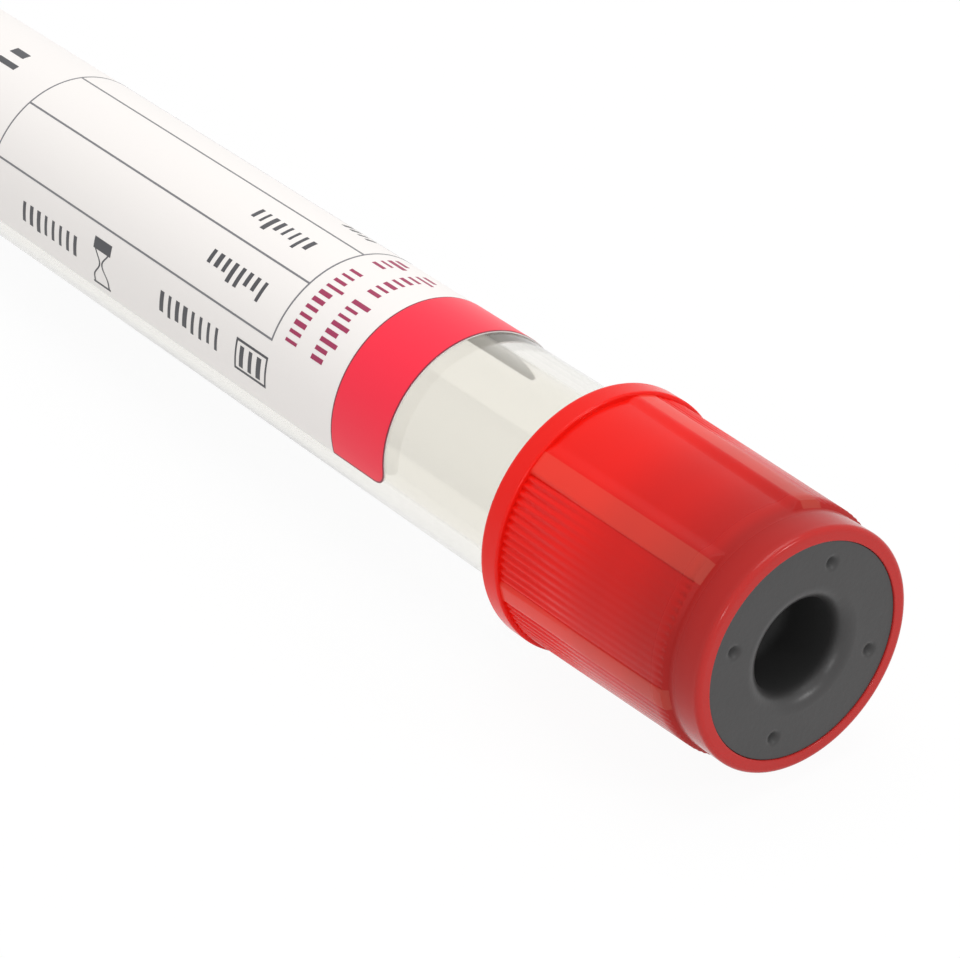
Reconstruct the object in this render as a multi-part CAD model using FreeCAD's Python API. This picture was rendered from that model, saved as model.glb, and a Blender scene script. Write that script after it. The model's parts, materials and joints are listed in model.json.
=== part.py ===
"""Blood collection tube: a clear 13 by 100 mm tube, its film label, and a pull-off closure of a rubber
stopper in a ribbed plastic cap.

The four pieces share one axis. Each is turned, or cut, about the X axis first. There "depth" runs from the
closure's front face at x = 0 towards the tube's closed end at negative x, and "turn" is the angle about the
axis, 0 at +Y and 90 at +Z. At the end all four are laid on the ground together, on the cap's flange and the
tube's round end, with the origin under the middle of their box. Lengths are millimetres and angles degrees.
"""
import FreeCAD, Part
import math
import os

# Tube
TUBE_OUTER_DIAMETER = 13.0
TUBE_LENGTH = 100.0
TUBE_MOUTH_WALL = 1.1
TUBE_END_WALL = 1.2
TUBE_RIM_BEVEL = 0.3

# Label
LABEL_THICKNESS = 0.08
LABEL_GLUE_GAP = 0.02
LABEL_WIDTH = 20.2
LABEL_LENGTH = 63.0
LABEL_FROM_MOUTH = 24.3
LABEL_MIDDLE_ANGLE = 105.3
LABEL_CORNER_ROUND = 1.2

# Cap. Its skirt goes over the tube and its lip over the stopper's collar. Its walls build out from those.
CAP_LENGTH = 18.3
CAP_LIP_THICKNESS = 0.95
CAP_LIP_OVERLAP = 0.35
CAP_NECK_WALL = 0.55
CAP_NECK_ROUND = 0.4
CAP_SHOULDER_DEPTH = 2.45
CAP_SHOULDER_RUN = 0.35
CAP_SKIRT_CLEARANCE = 0.3
CAP_SKIRT_MOUTH_BEVEL = 0.2
CAP_GRIP_FRONT_WALL = 0.98
CAP_GRIP_REAR_WALL = 1.22
CAP_GRIP_BEVEL = 0.1
CAP_FLANGE_WALL = 1.4
CAP_FLANGE_THICKNESS = 1.55
CAP_FLANGE_BEVEL = 0.2
CAP_BEAD_HEIGHT = 0.2
CAP_BEAD_LENGTH = 0.7

# Grip pattern round the cap: smooth strips, with ribs or a smooth panel between each two
STRIP_COUNT = 6
STRIP_ANGLE = 10.7
FIRST_STRIP_ANGLE = 11.25
PANEL_EVERY = 3
PANEL_RAMP_ANGLE = 7.0
PANEL_PROUD_OF_NECK = 0.03
PANEL_DRAFT = 0.12
PANEL_CUT_LEAD = 0.2
RIBS_BETWEEN_STRIPS = 14
RIB_HEIGHT = 0.2
RIB_CREST_SHARE = 0.28

# Stopper. Its collar and head are built on the tube's mouth, and its plug goes into the tube's bore.
FACE_SETBACK = 0.1
RUBBER_EDGE_BEVEL = 0.12
COLLAR_OVERHANG = 0.4
COLLAR_LENGTH = 3.3
HEAD_LENGTH = 5.6
HEAD_INSET = 0.05
WELL_DIAMETER = 5.8
WELL_DEPTH = 5.0
WELL_MOUTH_ROUND = 0.5
WELL_END_BEVEL = 0.6
DIMPLE_COUNT = 4
DIMPLE_DIAMETER = 0.8
DIMPLE_DEPTH = 0.45
DIMPLE_CIRCLE_DIAMETER = 10.5
FIRST_DIMPLE_ANGLE = 69.0
PLUG_LENGTH = 7.0
PLUG_CLEARANCE = 0.05
PLUG_RELIEF = 0.22
SEAL_RING_LENGTH = 1.3
PLUG_TIP_BEVEL = 0.4
HOLLOW_DIAMETER = 6.4
HOLLOW_END_DIAMETER = 5.2
HOLLOW_DEPTH = 3.2

# How far the shapes that cut reach past what they cut
CUT_MARGIN = 1.0

# The two ways an outline's corner can be eased, and how close two of its points must be to count as one
ROUND = "round"
BEVEL = "bevel"
SAME_POINT = 1e-6

# Radii and depths that follow from the sizes above
tube_radius = TUBE_OUTER_DIAMETER / 2
bore_radius = tube_radius - TUBE_MOUTH_WALL
bore_end_radius = tube_radius - TUBE_END_WALL
mouth_depth = FACE_SETBACK + HEAD_LENGTH
end_depth = mouth_depth + TUBE_LENGTH
plug_end_depth = mouth_depth + PLUG_LENGTH

collar_radius = tube_radius + COLLAR_OVERHANG
collar_end_depth = CAP_LIP_THICKNESS + COLLAR_LENGTH
opening_radius = collar_radius - CAP_LIP_OVERLAP
neck_radius = collar_radius + CAP_NECK_WALL
skirt_radius = tube_radius + CAP_SKIRT_CLEARANCE
grip_front_radius = skirt_radius + CAP_GRIP_FRONT_WALL
grip_rear_radius = skirt_radius + CAP_GRIP_REAR_WALL
flange_radius = skirt_radius + CAP_FLANGE_WALL
grip_depth = CAP_SHOULDER_DEPTH + CAP_SHOULDER_RUN
flange_depth = CAP_LENGTH - CAP_FLANGE_THICKNESS
strip_pitch = 360.0 / STRIP_COUNT


def at(depth, radius, turn=0.0):
    """The point at a depth along the axis, a radius from it and a turn about it."""
    angle = math.radians(turn)
    return FreeCAD.Vector(-depth, radius * math.cos(angle), radius * math.sin(angle))


def outline(corners):
    """A closed face in the turn-0 plane from (depth, radius) corners.

    An eased corner is (depth, radius, ROUND, its arc's radius) or (depth, radius, BEVEL, its reach each way).
    """
    points = [at(corner[0], corner[1]) for corner in corners]
    stops = []
    for i, corner in enumerate(corners):
        before, here, after = points[i - 1], points[i], points[(i + 1) % len(points)]
        if len(corner) == 2:
            stops.append((here, None, here))
            continue
        style, size = corner[2:]
        back = (before - here).normalize()
        ahead = (after - here).normalize()
        if style == BEVEL:
            stops.append((here + back * size, None, here + ahead * size))
            continue
        half_angle = back.getAngle(ahead) / 2
        reach = size / math.tan(half_angle)
        towards_centre = (back + ahead).normalize()
        middle = here + towards_centre * (size / math.sin(half_angle) - size)
        stops.append((here + back * reach, middle, here + ahead * reach))
    edges = []
    for i, (start, middle, finish) in enumerate(stops):
        if middle is not None:
            edges.append(Part.Arc(start, middle, finish).toShape())
        elif start.distanceToPoint(finish) > SAME_POINT:
            edges.append(Part.LineSegment(start, finish).toShape())
        next_start = stops[(i + 1) % len(stops)][0]
        if finish.distanceToPoint(next_start) > SAME_POINT:
            edges.append(Part.LineSegment(finish, next_start).toShape())
    return Part.Face(Part.Wire(edges))


def turned(corners, sweep=360.0, first_turn=0.0):
    """The corners' outline turned about the axis, through a whole turn or a sweep from first_turn."""
    axis = FreeCAD.Vector(1, 0, 0)
    solid = outline(corners).revolve(FreeCAD.Vector(0, 0, 0), axis, sweep)
    solid.rotate(FreeCAD.Vector(0, 0, 0), axis, first_turn)
    return solid


def lofted(front, rear):
    """A closed solid between two closed wires, with straight lines from one to the other."""
    return Part.makeLoft([front, rear], True, True)


def make_tube():
    return turned([
        (mouth_depth, tube_radius, BEVEL, TUBE_RIM_BEVEL),
        (end_depth, tube_radius, ROUND, tube_radius),
        (end_depth, 0.0),
        (end_depth - TUBE_END_WALL, 0.0),
        (end_depth - TUBE_END_WALL, bore_end_radius, ROUND, bore_end_radius),
        (mouth_depth, bore_radius, BEVEL, TUBE_RIM_BEVEL),
    ])


def label_corner(edge_depth, edge_turn, depth_sign, turn_sign):
    """The scrap outside one rounded corner of the label. The signs say which way the label lies from it."""
    side = LABEL_CORNER_ROUND + CUT_MARGIN
    outer = tube_radius + LABEL_GLUE_GAP + LABEL_THICKNESS
    centre_depth = edge_depth + depth_sign * LABEL_CORNER_ROUND
    centre_turn = edge_turn + turn_sign * math.degrees(LABEL_CORNER_ROUND / outer)
    low = at(centre_depth, tube_radius - CUT_MARGIN)
    x = low.x if depth_sign > 0 else low.x - side
    z = -side if turn_sign > 0 else 0.0
    height = outer - tube_radius + 2 * CUT_MARGIN
    block = Part.makeBox(side, height, side, FreeCAD.Vector(x, low.y, z))
    rod = Part.makeCylinder(LABEL_CORNER_ROUND, height, low, FreeCAD.Vector(0, 1, 0))
    scrap = block.cut(rod)
    scrap.rotate(FreeCAD.Vector(0, 0, 0), FreeCAD.Vector(1, 0, 0), centre_turn)
    return scrap


def make_label():
    """The film wraps part of the tube. Its four corners are rounded as the die cut them."""
    inner = tube_radius + LABEL_GLUE_GAP
    outer = inner + LABEL_THICKNESS
    wrap = math.degrees(LABEL_WIDTH / outer)
    first_turn = LABEL_MIDDLE_ANGLE - wrap / 2
    start = mouth_depth + LABEL_FROM_MOUTH
    finish = start + LABEL_LENGTH
    film = turned([(start, inner), (start, outer), (finish, outer), (finish, inner)], wrap, first_turn)
    scraps = [label_corner(depth, turn, depth_sign, turn_sign)
              for depth, depth_sign in ((start, 1), (finish, -1))
              for turn, turn_sign in ((first_turn, 1), (first_turn + wrap, -1))]
    return film.cut(scraps)


def panel_section(depth, floor_radius, edge_radius):
    """The cross-section that a smooth panel is cut with: a round floor with a ramp at each side."""
    half_panel = (strip_pitch - STRIP_ANGLE) / 2
    half_floor = half_panel - PANEL_RAMP_ANGLE
    above = flange_radius + CUT_MARGIN
    floor = Part.Arc(at(depth, floor_radius, -half_floor), at(depth, floor_radius),
                     at(depth, floor_radius, half_floor))
    rim = [at(depth, floor_radius, half_floor), at(depth, edge_radius, half_panel),
           at(depth, above, half_panel), at(depth, above, -half_panel),
           at(depth, edge_radius, -half_panel), at(depth, floor_radius, -half_floor)]
    sides = [Part.LineSegment(start, finish).toShape() for start, finish in zip(rim, rim[1:])]
    return Part.Wire([floor.toShape()] + sides)


def panel_cutter(turn):
    """What is cut from the grip to leave one smooth panel that runs level with the neck."""
    front_floor = neck_radius + PANEL_PROUD_OF_NECK
    cutter = lofted(panel_section(CAP_SHOULDER_DEPTH - PANEL_CUT_LEAD, front_floor, grip_front_radius),
                    panel_section(flange_depth, front_floor + PANEL_DRAFT, grip_rear_radius))
    cutter.rotate(FreeCAD.Vector(0, 0, 0), FreeCAD.Vector(1, 0, 0), turn)
    return cutter


def valley_section(depth, surface_radius, half_angle):
    """The V between two ribs, as wide again above the surface as below it so that it cuts clean."""
    spread = half_angle * 2
    above = surface_radius + RIB_HEIGHT
    return Part.makePolygon([at(depth, above, -spread), at(depth, surface_radius - RIB_HEIGHT),
                             at(depth, above, spread), at(depth, above, -spread)])


def valley_cutter(turn):
    half_angle = (strip_pitch - STRIP_ANGLE) / RIBS_BETWEEN_STRIPS * (1 - RIB_CREST_SHARE) / 2
    cutter = lofted(valley_section(CAP_SHOULDER_DEPTH, grip_front_radius, half_angle),
                    valley_section(flange_depth, grip_rear_radius, half_angle))
    cutter.rotate(FreeCAD.Vector(0, 0, 0), FreeCAD.Vector(1, 0, 0), turn)
    return cutter


def make_cap_shield():
    """The cap is one moulding. Its grip is cut back to two smooth panels and, elsewhere, to fine ribs."""
    blank = turned([
        (0.0, opening_radius),
        (0.0, neck_radius, ROUND, CAP_NECK_ROUND),
        (CAP_SHOULDER_DEPTH, neck_radius),
        (grip_depth, grip_front_radius, BEVEL, CAP_GRIP_BEVEL),
        (flange_depth, grip_rear_radius),
        (flange_depth, flange_radius),
        (CAP_LENGTH, flange_radius, BEVEL, CAP_FLANGE_BEVEL),
        (CAP_LENGTH, skirt_radius, BEVEL, CAP_SKIRT_MOUTH_BEVEL),
        (collar_end_depth + CAP_BEAD_LENGTH, skirt_radius),
        (collar_end_depth + CAP_BEAD_LENGTH / 2, skirt_radius - CAP_BEAD_HEIGHT),
        (collar_end_depth, skirt_radius - CAP_BEAD_HEIGHT),
        (collar_end_depth, collar_radius),
        (CAP_LIP_THICKNESS, collar_radius),
        (CAP_LIP_THICKNESS, opening_radius),
    ])
    cutters = []
    for i in range(STRIP_COUNT):
        gap_start = FIRST_STRIP_ANGLE + i * strip_pitch + STRIP_ANGLE / 2
        gap = strip_pitch - STRIP_ANGLE
        if i % PANEL_EVERY == 1:
            cutters.append(panel_cutter(gap_start + gap / 2))
            continue
        for k in range(RIBS_BETWEEN_STRIPS + 1):
            cutters.append(valley_cutter(gap_start + gap * k / RIBS_BETWEEN_STRIPS))
    return blank.cut(cutters)


def make_stopper():
    """The stopper is one rubber moulding: face with needle well, collar, and plug with two sealing rings."""
    head_back_radius = tube_radius - HEAD_INSET
    plug_radius = bore_radius - PLUG_CLEARANCE
    relief_radius = plug_radius - PLUG_RELIEF
    ring_gap = (PLUG_LENGTH - 2 * SEAL_RING_LENGTH) / 3
    first_ring = mouth_depth + ring_gap
    second_ring = plug_end_depth - ring_gap / 2 - SEAL_RING_LENGTH
    well_radius = WELL_DIAMETER / 2
    body = turned([
        (FACE_SETBACK, well_radius, ROUND, WELL_MOUTH_ROUND),
        (FACE_SETBACK, opening_radius, BEVEL, RUBBER_EDGE_BEVEL),
        (CAP_LIP_THICKNESS, opening_radius),
        (CAP_LIP_THICKNESS, collar_radius),
        (collar_end_depth, collar_radius, BEVEL, RUBBER_EDGE_BEVEL),
        (collar_end_depth, head_back_radius),
        (mouth_depth, head_back_radius, BEVEL, RUBBER_EDGE_BEVEL),
        (mouth_depth, relief_radius),
        (first_ring, relief_radius),
        (first_ring, plug_radius),
        (first_ring + SEAL_RING_LENGTH, plug_radius),
        (first_ring + SEAL_RING_LENGTH, relief_radius),
        (second_ring, relief_radius),
        (second_ring, plug_radius),
        (second_ring + SEAL_RING_LENGTH, plug_radius),
        (second_ring + SEAL_RING_LENGTH, relief_radius),
        (plug_end_depth, relief_radius, BEVEL, PLUG_TIP_BEVEL),
        (plug_end_depth, HOLLOW_DIAMETER / 2),
        (plug_end_depth - HOLLOW_DEPTH, HOLLOW_END_DIAMETER / 2),
        (plug_end_depth - HOLLOW_DEPTH, 0.0),
        (FACE_SETBACK + WELL_DEPTH, 0.0),
        (FACE_SETBACK + WELL_DEPTH, well_radius, BEVEL, WELL_END_BEVEL),
    ])
    dimples = []
    for i in range(DIMPLE_COUNT):
        centre = at(FACE_SETBACK - DIMPLE_DIAMETER, DIMPLE_CIRCLE_DIAMETER / 2,
                    FIRST_DIMPLE_ANGLE + i * 360.0 / DIMPLE_COUNT)
        dimples.append(Part.makeCylinder(DIMPLE_DIAMETER / 2, DIMPLE_DIAMETER + DIMPLE_DEPTH, centre,
                                         FreeCAD.Vector(-1, 0, 0)))
    return body.cut(dimples)


def lay_down(shapes):
    """Tip the axis until the cap's flange and the tube's round end touch one floor, and centre the box."""
    flange_foot_depth = CAP_LENGTH - CAP_FLANGE_BEVEL
    span = end_depth - tube_radius - flange_foot_depth
    reach = math.hypot(span, flange_radius)
    tilt = math.degrees(math.atan2(flange_radius, span) - math.asin(tube_radius / reach))
    for shape in shapes.values():
        shape.rotate(FreeCAD.Vector(0, 0, 0), FreeCAD.Vector(0, 1, 0), -tilt)
    box = Part.Compound(list(shapes.values())).optimalBoundingBox(False, False)
    for shape in shapes.values():
        shape.translate(FreeCAD.Vector(-(box.XMin + box.XMax) / 2, -(box.YMin + box.YMax) / 2, -box.ZMin))


pieces = {
    "tube": make_tube(),
    "label": make_label(),
    "stopper": make_stopper(),
    "cap_shield": make_cap_shield(),
}
lay_down(pieces)
os.makedirs("parts", exist_ok=True)
for name, shape in pieces.items():
    shape.exportStep("parts/" + name + ".step")
    print(name, "valid", shape.isValid(), "solids", len(shape.Solids), "faces", len(shape.Faces),
          "volume", round(shape.Volume, 2))
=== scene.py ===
import json
import math

import bmesh
import bpy
from mathutils import Matrix, Vector


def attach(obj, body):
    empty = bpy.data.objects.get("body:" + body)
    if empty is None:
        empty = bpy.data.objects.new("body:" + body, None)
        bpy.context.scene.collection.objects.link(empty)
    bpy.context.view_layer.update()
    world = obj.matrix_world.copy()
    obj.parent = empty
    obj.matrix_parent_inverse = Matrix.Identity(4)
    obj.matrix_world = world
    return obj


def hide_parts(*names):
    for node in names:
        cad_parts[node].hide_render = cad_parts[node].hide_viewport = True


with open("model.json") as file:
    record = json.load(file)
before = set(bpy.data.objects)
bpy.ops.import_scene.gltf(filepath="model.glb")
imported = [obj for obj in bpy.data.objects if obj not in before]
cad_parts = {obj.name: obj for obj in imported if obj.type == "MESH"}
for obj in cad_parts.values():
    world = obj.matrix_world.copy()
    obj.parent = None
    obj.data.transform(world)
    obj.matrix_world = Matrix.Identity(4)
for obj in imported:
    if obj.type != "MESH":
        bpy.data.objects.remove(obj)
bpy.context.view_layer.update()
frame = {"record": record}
scene = bpy.context.scene

# ---------------------------------------------------------------------------------------------------------
# The tube's axis. Every piece is built round the X axis in millimetres, where "depth" runs from the cap's
# front face at x = 0 towards negative x and "turn" is the angle about the axis, 0 at +Y and 90 at +Z. One
# matrix then lays it where the solids are. The record's mounts give the axis and the face.
# ---------------------------------------------------------------------------------------------------------
MM = 0.001
mounts = {mount["name"]: mount for mount in frame["record"]["mounts"]}
along = Vector(mounts["needle_well"]["axis"]).normalized()
on_axis = Vector(mounts["needle_well"]["pos_m"])
face_centre = on_axis + along * (Vector(mounts["cap_front_ring"]["pos_m"]) - on_axis).dot(along)
across = Vector((0.0, 1.0, 0.0))
up_axis = along.cross(across)
lay = Matrix.Translation(face_centre) @ Matrix((along, across, up_axis)).transposed().to_4x4()
lay_mm = lay @ Matrix.Scale(MM, 4)


def at(depth, radius, turn):
    """The point at a depth, radius and turn, in millimetres about the X axis."""
    angle = math.radians(turn)
    return Vector((-depth, radius * math.cos(angle), radius * math.sin(angle)))


# ---------------------------------------------------------------------------------------------------------
# Camera: a long lens in front of the closure and above it, looking down the tube towards its closed end,
# which runs out of the view at the upper left. Places are millimetres from the centre of the cap's face.
# ---------------------------------------------------------------------------------------------------------
CAMERA_PLACE = (125.47, -116.66, 116.45)
CAMERA_AIM = (-14.47, -11.06, 7.90)
CAMERA_ROLL = -0.21
CAMERA_LENS = 143.06
CAMERA_SENSOR = 36.0
NEAREST_SEEN = 0.01

camera_data = bpy.data.cameras.new("camera")
camera_data.lens = CAMERA_LENS
camera_data.sensor_width = CAMERA_SENSOR
camera_data.clip_start = NEAREST_SEEN
camera = bpy.data.objects.new("camera", camera_data)
scene.collection.objects.link(camera)
camera_place = face_centre + Vector(CAMERA_PLACE) * MM
looking = (Vector(CAMERA_AIM) - Vector(CAMERA_PLACE)).normalized()
facing = looking.to_track_quat("-Z", "Y").to_matrix().to_4x4()
roll = Matrix.Rotation(math.radians(-CAMERA_ROLL), 4, "Z")
camera.matrix_world = Matrix.Translation(camera_place) @ facing @ roll
scene.camera = camera


# ---------------------------------------------------------------------------------------------------------
# Stage: a plain white bench, white surroundings as the camera, reflections and clear plastic see them, a
# softer level of them as light, a large soft lamp overhead, a small one in front of the closure that draws
# the highlight on its ring, and another to its right that catches the lip of the stopper's well.
# ---------------------------------------------------------------------------------------------------------
FLOOR_HALF_WIDTH = 2.0
AMBIENT_LEVEL = 0.62
BENCH_WHITE = (0.9, 0.9, 0.9, 1.0)
BENCH_GLOW_SHARE = 0.95
WHITE = (1.0, 1.0, 1.0, 1.0)
LAMPS = (  # name, place, size, power
    ("key lamp", (0.0, 0.07, 0.595), 0.45, 1.8),
    ("fill lamp", (0.45, -0.35, 0.25), 0.065, 0.5),
    ("side lamp", (0.47, 0.19, 0.3), 0.1, 0.6))


def linear(colour):
    """An sRGB hex colour as linear RGBA."""
    parts = [int(colour[i:i + 2], 16) / 255 for i in (1, 3, 5)]
    return tuple(p / 12.92 if p <= 0.04045 else ((p + 0.055) / 1.055) ** 2.4 for p in parts) + (1.0,)


MATH = "ShaderNodeMath"
RANGE = "ShaderNodeMapRange"
MIX = "ShaderNodeMix"


def add_node(tree, kind, inputs=(), **settings):
    """A node with its settings. Each input gets a value, an output or a whole node's first output.

    Inputs go by their order, or by name or number. Those of a Mix node are its factor at 0, two numbers at
    2 and 3 and two colours at 6 and 7. Those of a Map Range node start with the value and its range's ends.
    """
    node = tree.nodes.new(kind)
    for name, value in settings.items():
        setattr(node, name, value)
    for name, value in inputs.items() if isinstance(inputs, dict) else enumerate(inputs):
        value = value.outputs[0] if isinstance(value, bpy.types.Node) else value
        if isinstance(value, bpy.types.NodeSocket):
            tree.links.new(value, node.inputs[name])
        else:
            node.inputs[name].default_value = value
    return node


def seen_directly(tree):
    """1 for rays from the camera, off gloss or through clear plastic, else 0."""
    path = add_node(tree, "ShaderNodeLightPath").outputs
    total = add_node(tree, MATH, [path["Is Camera Ray"], path["Is Glossy Ray"]], operation="ADD")
    return add_node(tree, MATH, [total, path["Is Transmission Ray"]], operation="ADD", use_clamp=True)


world = bpy.data.worlds.new("white surroundings")
scene.world = world
world.use_nodes = True
tree = world.node_tree
tree.nodes.clear()
strength = add_node(tree, RANGE, {"Value": seen_directly(tree), "To Min": AMBIENT_LEVEL, "To Max": 1.0})
background = add_node(tree, "ShaderNodeBackground", {"Color": WHITE, "Strength": strength})
add_node(tree, "ShaderNodeOutputWorld", {"Surface": background})

for name, place, size, power in LAMPS:
    lamp_data = bpy.data.lights.new(name, "AREA")
    lamp_data.shape = "DISK"
    lamp_data.size = size
    lamp_data.energy = power
    lamp = bpy.data.objects.new(name, lamp_data)
    lamp.location = place
    lamp.rotation_euler = (-Vector(place)).to_track_quat("-Z", "Y").to_euler()
    scene.collection.objects.link(lamp)

# The bench is white, and only the shade that the object throws on it darkens it.
bench = bpy.data.materials.new("white bench")
bench.use_nodes = True
tree = bench.node_tree
tree.nodes.clear()
white = add_node(tree, "ShaderNodeBsdfDiffuse", {"Color": BENCH_WHITE})
glow = add_node(tree, "ShaderNodeEmission", {"Color": WHITE, "Strength": 1.0})
share = add_node(tree, MATH, [seen_directly(tree), BENCH_GLOW_SHARE], operation="MULTIPLY")
mixed = add_node(tree, "ShaderNodeMixShader", [share, white, glow])
add_node(tree, "ShaderNodeOutputMaterial", {"Surface": mixed})

floor_mesh = bpy.data.meshes.new("bench")
w = FLOOR_HALF_WIDTH
floor_mesh.from_pydata([(-w, -w, 0), (w, -w, 0), (w, w, 0), (-w, w, 0)], [], [(0, 1, 2, 3)])
floor_mesh.materials.append(bench)
floor = bpy.data.objects.new("bench", floor_mesh)
scene.collection.objects.link(floor)


# ---------------------------------------------------------------------------------------------------------
# Tube: one clear PET moulding, blown thin-walled, open at the mouth and round at the closed end. Its wall
# has a faint warm tint, painted light that stands in for the warm surroundings seen through it, and the
# slightest waviness of the mould.
# ---------------------------------------------------------------------------------------------------------
CAP_LENGTH = 18.3
FACE_SETBACK = 0.1
HEAD_LENGTH = 5.6
TUBE_LENGTH = 100.0
TUBE_RADIUS = 6.5
TUBE_MOUTH_WALL = 1.1
TUBE_END_WALL = 1.2
TUBE_RIM_ROUND = 0.3
TUBE_COLUMNS = 256
TUBE_PAINTED_WARM_TINT = "#f6f4ee"
MOULD_WAVE_SPACING = 100 / 9
MOULD_WAVE_HEIGHT = 0.04
MOULD_WAVE_STRETCH = (0.35, 1.0, 1.0)
SHARP_ANGLE = 38.0
ROUND_STEPS = 5
ROUND_STEP_LENGTH = 0.18
LONGEST_RUN = 5.0
EDGE_SUPPORT = 0.05
SAME_POINT = 1e-4
MOUTH_DEPTH = FACE_SETBACK + HEAD_LENGTH
END_DEPTH = MOUTH_DEPTH + TUBE_LENGTH
BORE_RADIUS = TUBE_RADIUS - TUBE_MOUTH_WALL
BORE_END_RADIUS = TUBE_RADIUS - TUBE_END_WALL


def rounded(corners):
    """The points of a closed outline from (depth, radius) or (depth, radius, rounding) corners.

    Each straight run gets a point close to both its ends, so that smooth shading bends only at the
    roundings, and a long run is divided.
    """
    points = []
    for i, corner in enumerate(corners):
        here = Vector(corner[:2])
        if len(corner) == 2:
            points.append(here)
            continue
        size = corner[2]
        back = (Vector(corners[i - 1][:2]) - here).normalized()
        ahead = (Vector(corners[(i + 1) % len(corners)][:2]) - here).normalized()
        half = back.angle(ahead) / 2
        centre = here + (back + ahead).normalized() * (size / math.sin(half))
        start = here + back * (size / math.tan(half)) - centre
        finish = here + ahead * (size / math.tan(half)) - centre
        sweep = start.angle_signed(finish)
        count = max(ROUND_STEPS, round(abs(sweep) * size / ROUND_STEP_LENGTH))
        points += [centre + Matrix.Rotation(-sweep * k / count, 2) @ start for k in range(count + 1)]
    finished = []
    for point, following in zip(points, points[1:] + points[:1]):
        run = (following - point).length
        finished.append(point)
        if run > 4 * EDGE_SUPPORT:
            near, far = EDGE_SUPPORT / run, 1 - EDGE_SUPPORT / run
            parts = math.ceil(run / LONGEST_RUN)
            finished += [point.lerp(following, near + (far - near) * k / parts) for k in range(parts + 1)]
    return finished


def lathe(name, points, columns):
    """A closed mesh turned from a closed outline of (depth, radius) points, in millimetres.

    The outline's outer side runs towards the closed end, which makes every face look outward.
    """
    mesh = bmesh.new()
    rings = []
    for i, (depth, radius) in enumerate(points):
        if i and (Vector((depth, radius)) - Vector(points[i - 1])).length < SAME_POINT:
            continue
        if radius < SAME_POINT:
            rings.append([mesh.verts.new(at(depth, 0.0, 0.0))])
        else:
            rings.append([mesh.verts.new(at(depth, radius, 360.0 * k / columns)) for k in range(columns)])
    for ring, following in zip(rings, rings[1:] + rings[:1]):
        if len(ring) == 1 and len(following) == 1:
            continue
        for k in range(columns):
            corners = [ring[k % len(ring)], following[k % len(following)],
                       following[(k + 1) % columns % len(following)], ring[(k + 1) % columns % len(ring)]]
            mesh.faces.new(list(dict.fromkeys(corners)))
    data = bpy.data.meshes.new(name)
    mesh.to_mesh(data)
    mesh.free()
    return data


def settle(name, data, material, body, replaces=None):
    """Places a finished mesh on the axis as a piece of that body."""
    data.transform(lay_mm)
    data.materials.clear()
    data.materials.append(material)
    data.shade_smooth()
    data.set_sharp_from_angle(angle=math.radians(SHARP_ANGLE))
    piece = bpy.data.objects.new(name, data)
    scene.collection.objects.link(piece)
    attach(piece, body)
    if replaces:
        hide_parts(replaces)


def plastic(name, colour, **constants):
    """A material with a Principled shader. Returns the material, its tree and the shader."""
    material = bpy.data.materials.new(name)
    material.use_nodes = True
    tree = material.node_tree
    tree.nodes.clear()
    shader = add_node(tree, "ShaderNodeBsdfPrincipled", {"Base Color": linear(colour)})
    for socket, value in constants.items():
        shader.inputs[socket.replace("_", " ")].default_value = value
    add_node(tree, "ShaderNodeOutputMaterial", {"Surface": shader})
    return material, tree, shader


def axis_coordinates(tree):
    """Object coordinates in metres along and about the tube's axis, as a vector."""
    undo = lay.inverted()
    coordinates = add_node(tree, "ShaderNodeTexCoord").outputs["Object"]
    return add_node(tree, "ShaderNodeMapping", {
        "Vector": coordinates, "Location": undo.to_translation(), "Rotation": undo.to_euler()})


def from_axis(tree, parts):
    """The distance from the X axis, from the parts of a place."""
    squares = [add_node(tree, MATH, [parts[side], 2.0], operation="POWER") for side in ("Y", "Z")]
    return add_node(tree, MATH, [add_node(tree, MATH, squares, operation="ADD")], operation="SQRT")


def add_relief(tree, shader, spacing, height, detail=3.0, stretch=(1.0, 1.0, 1.0)):
    """Noise relief with features of that spacing and height, in millimetres."""
    place = add_node(tree, "ShaderNodeVectorMath", [axis_coordinates(tree), stretch], operation="MULTIPLY")
    noise = add_node(tree, "ShaderNodeTexNoise", {
        "Vector": place, "Scale": 1 / (spacing * MM), "Detail": detail})
    bump = add_node(tree, "ShaderNodeBump", {"Height": noise, "Distance": height * MM, "Strength": 1.0})
    tree.links.new(bump.outputs[0], shader.inputs["Normal"])


# Clear PET: polished, with the mould's long faint waves along the wall, which bend what shows through it.
# The warm tint is painted light, standing in for the warm surroundings seen through the wall.
clear_pet, tree, shader = plastic("clear PET", TUBE_PAINTED_WARM_TINT, Roughness=0.03, IOR=1.57, Transmission_Weight=1.0)
add_relief(tree, shader, MOULD_WAVE_SPACING, MOULD_WAVE_HEIGHT, detail=1.0, stretch=MOULD_WAVE_STRETCH)

tube_outline = rounded([
    (MOUTH_DEPTH, TUBE_RADIUS, TUBE_RIM_ROUND),
    (END_DEPTH, TUBE_RADIUS, TUBE_RADIUS),
    (END_DEPTH, 0.0),
    (END_DEPTH - TUBE_END_WALL, 0.0),
    (END_DEPTH - TUBE_END_WALL, BORE_END_RADIUS, BORE_END_RADIUS),
    (MOUTH_DEPTH, BORE_RADIUS, TUBE_RIM_ROUND),
])
tube_mesh = lathe("clear_tube", tube_outline, TUBE_COLUMNS)
settle("clear_tube", tube_mesh, clear_pet, "tube", "tube")


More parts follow.
